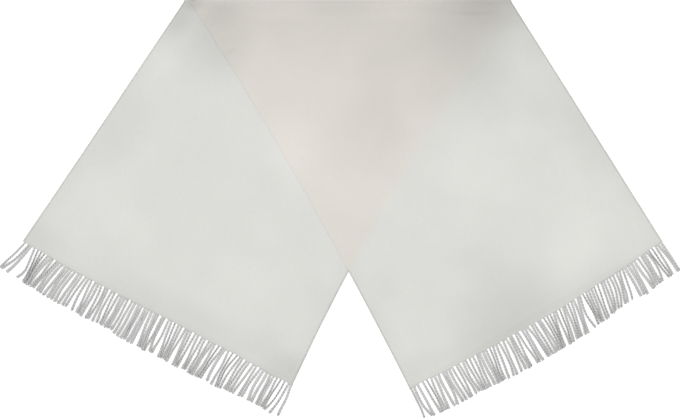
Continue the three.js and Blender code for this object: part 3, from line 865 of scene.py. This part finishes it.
def woven_cloth():
    """Fine twill: warp floats lie over the weft in slanting lines, under a light nap."""
    material, tree, shader = soft_material("woven_cloth", CLOTH_SURFACE)
    place = tree.named("cloth_place", "Vector")
    warp = tree.ridges(place, WEAVE_PITCH)
    weft = tree.ridges(place, WEAVE_PITCH, "Y")
    turn = (0, 0, math.radians(TWILL["turn"]))
    turned = tree.out("ShaderNodeMapping", {"Vector": place, "Rotation": turn})
    lines = tree.ridges(turned, WEAVE_PITCH * TWILL["yarns"] / math.sqrt(2))
    woven = tree.mixed(tree.ranged(lines, *TWILL["blend"], smooth=True), warp, weft)
    nap = tree.noise(place, CLOTH_GRAIN["nap"], 3.0, 0.6)
    height = tree.maths("MULTIPLY_ADD", nap, CLOTH_SURFACE["finer"], woven)
    slubs = tree.noise(tree.vector("MULTIPLY", place, SLUB_SQUEEZE), CLOTH_GRAIN["slub"], 3.0, 0.6)
    doubled = tree.named("doubled")
    # painted shade along the cloth's edges, mottled, none where the layers lie on each other
    mottled_edge_shade = tree.varied(tree.noise(place, CLOTH_GRAIN["painted_edge_shade"]), "painted_edge_shade")
    from_edge = tree.named("from_edge")
    selvedge = tree.ranged(from_edge, *PAINTED_EDGE_SHADE_TO, smooth=True)
    edge = tree.mixed(tree.maths("MAXIMUM", selvedge, doubled), mottled_edge_shade, 1.0)
    # the cloth darkens a little towards its long edges, but not where the layers lie on each other
    darker_to_edges = tree.ranged(from_edge, 0.0, DARKER_TO_EDGES_WITHIN, *VARIES["darker_to_edges"], smooth=True)
    along = tree.add("ShaderNodeSeparateXYZ", {0: place}).outputs["Y"]
    from_hem = tree.maths("MINIMUM", along, tree.maths("SUBTRACT", FLAT_LONG, along))
    shares = (
        # the painted light and shade of the patches
        tree.named("tone"),
        tree.varied(tree.noise(place, CLOTH_GRAIN["patch"]), "patch"),
        tree.varied(slubs, "slub"),
        tree.ranged(height, 0.0, 1.6, *VARIES["weave"]),
        # painted shade along the hems
        tree.ranged(from_hem, 0.0, HEM_SHADED_TO, *VARIES["hem"], smooth=True),
        edge,
        tree.mixed(doubled, darker_to_edges, 1.0),
    )
    # painted show-through where two layers lie on each other
    colour = tree.tinted(doubled, CLOTH_SINGLE, CLOTH_PAINTED_SHOW_THROUGH)
    dressed(tree, shader, colour, shares, tree.bump(height, CLOTH_SURFACE["high"]))
    return material


def fringe_yarn():
    """Loose fibres winding along each yarn, with painted shade in the creases of the twist, though not near
    the hem.
    """
    material, tree, shader = soft_material("fringe_yarn", YARN_SURFACE)
    place = tree.add("ShaderNodeTexCoord").outputs["Object"]
    along = tree.named("along_yarn")
    around, angle = tree.named("around_yarn", "Vector"), tree.times(along, 2 * math.pi / FIBRE_TURN)
    winding = tree.out("ShaderNodeVectorRotate", {"Vector": around, "Angle": angle}, rotation_type="Z_AXIS")
    drawn_out = tree.out("ShaderNodeCombineXYZ", {2: tree.times(along, 1 / FIBRE_LONG)})
    fibres = tree.noise(tree.vector("ADD", winding, drawn_out), YARN_GRAIN["fibre"], 3.0, 0.65)
    fuzz = tree.noise(place, YARN_GRAIN["fuzz"], 2.0, 0.6)
    height = tree.maths("MULTIPLY_ADD", fuzz, YARN_SURFACE["finer"], fibres)
    # painted shade in the creases where a strand's yarns meet, none near the hem
    out_of_painted_shade = tree.ranged(tree.named("out_of_strand"), *PAINTED_CREASE_SHADE, smooth=True)
    out_of_painted_shade = tree.maths("MAXIMUM", out_of_painted_shade, tree.named("near_hem"))
    shares = (
        tree.varied(fibres, "fibre"),
        tree.ranged(along, 0.0, YARN_FADES, *VARIES["root_to_tip"]),
        tree.varied(tree.noise(place, YARN_GRAIN["patch"]), "yarn_patch"),
    )
    colour = tree.tinted(out_of_painted_shade, YARN_PAINTED_SHADE, YARN_PALE)
    dressed(tree, shader, colour, shares, tree.bump(height, YARN_SURFACE["high"]))
    return material


def pale_ground():
    """The floor's finish, with a faint grain."""
    material, tree, shader = soft_material("pale_floor", {"rough": 0.85, "sheen": 0.0})
    shader.inputs["Specular IOR Level"].default_value = 0.0
    shader.inputs["Emission Color"].default_value = (1, 1, 1, 1)
    shader.inputs["Emission Strength"].default_value = FLOOR_GLOW
    place = tree.add("ShaderNodeTexCoord").outputs["Object"]
    grain = tree.varied(tree.noise(place, FLOOR_GRAIN), "floor")
    tone = tree.out("ShaderNodeRGB")
    tone.default_value = (*FLOOR_PALE, 1)
    dressed(tree, shader, tone, (grain,))
    return material


def floor():
    corners = FLOOR_HALF * np.array([(-1, -1, 0), (1, -1, 0), (1, 1, 0), (-1, 1, 0)])
    mesh = mesh_from("floor", corners, [(0, 1, 2, 3)])
    mesh.materials.append(pale_ground())
    piece = add_object("floor", mesh)
    return piece


def camera_above():
    """Straight above, as far off as makes the picture's pixels the right size on the floor."""
    data = bpy.data.cameras.new("camera_above")
    data.lens = LENS
    data.sensor_width = SENSOR
    data.clip_end = 200.0
    camera = add_object("camera_above", data)
    camera.location = (*CAMERA_OVER, PICTURE_WIDE * METRES_PER_PIXEL * LENS / SENSOR)
    bpy.context.scene.camera = camera


def soft_tent():
    """A pale tent of light all round, a little brighter on one side."""
    world = bpy.data.worlds.new("soft_tent")
    bpy.context.scene.world = world
    world.use_nodes = True
    tree = Tree(world.node_tree)
    way = tree.add("ShaderNodeTexCoord").outputs["Generated"]
    facing = tree.vector("DOT_PRODUCT", way, LIGHT["towards"])
    strength = tree.ranged(facing, -1.0, 1.0, 1 - LIGHT["leaning"], 1 + LIGHT["leaning"])
    background = world.node_tree.nodes["Background"]
    tree.tree.links.new(tree.times(strength, LIGHT["strength"]), background.inputs["Strength"])
    background.inputs["Color"].default_value = (1, 1, 1, 1)


bpy.context.scene.view_settings.view_transform = "Standard"
camera_above()
soft_tent()
floor_piece = floor()

cloth_finish, yarn_finish = woven_cloth(), fringe_yarn()
strands_tree = twisted_strands()
sheet = woven_sheet(cloth_finish)
left_fringe = fringe("twisted_fringe_left", LOWER_FRINGE, strands_tree, yarn_finish)
right_fringe = fringe("twisted_fringe_right", UPPER_FRINGE, strands_tree, yarn_finish)

for piece, node, slot in (
    (sheet, "woven_body", "woven_cloth"),
    (left_fringe, "fringe_left", "fringe_yarn"),
    (right_fringe, "fringe_right", "fringe_yarn"),
):
    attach(piece, "root")
    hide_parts(node)
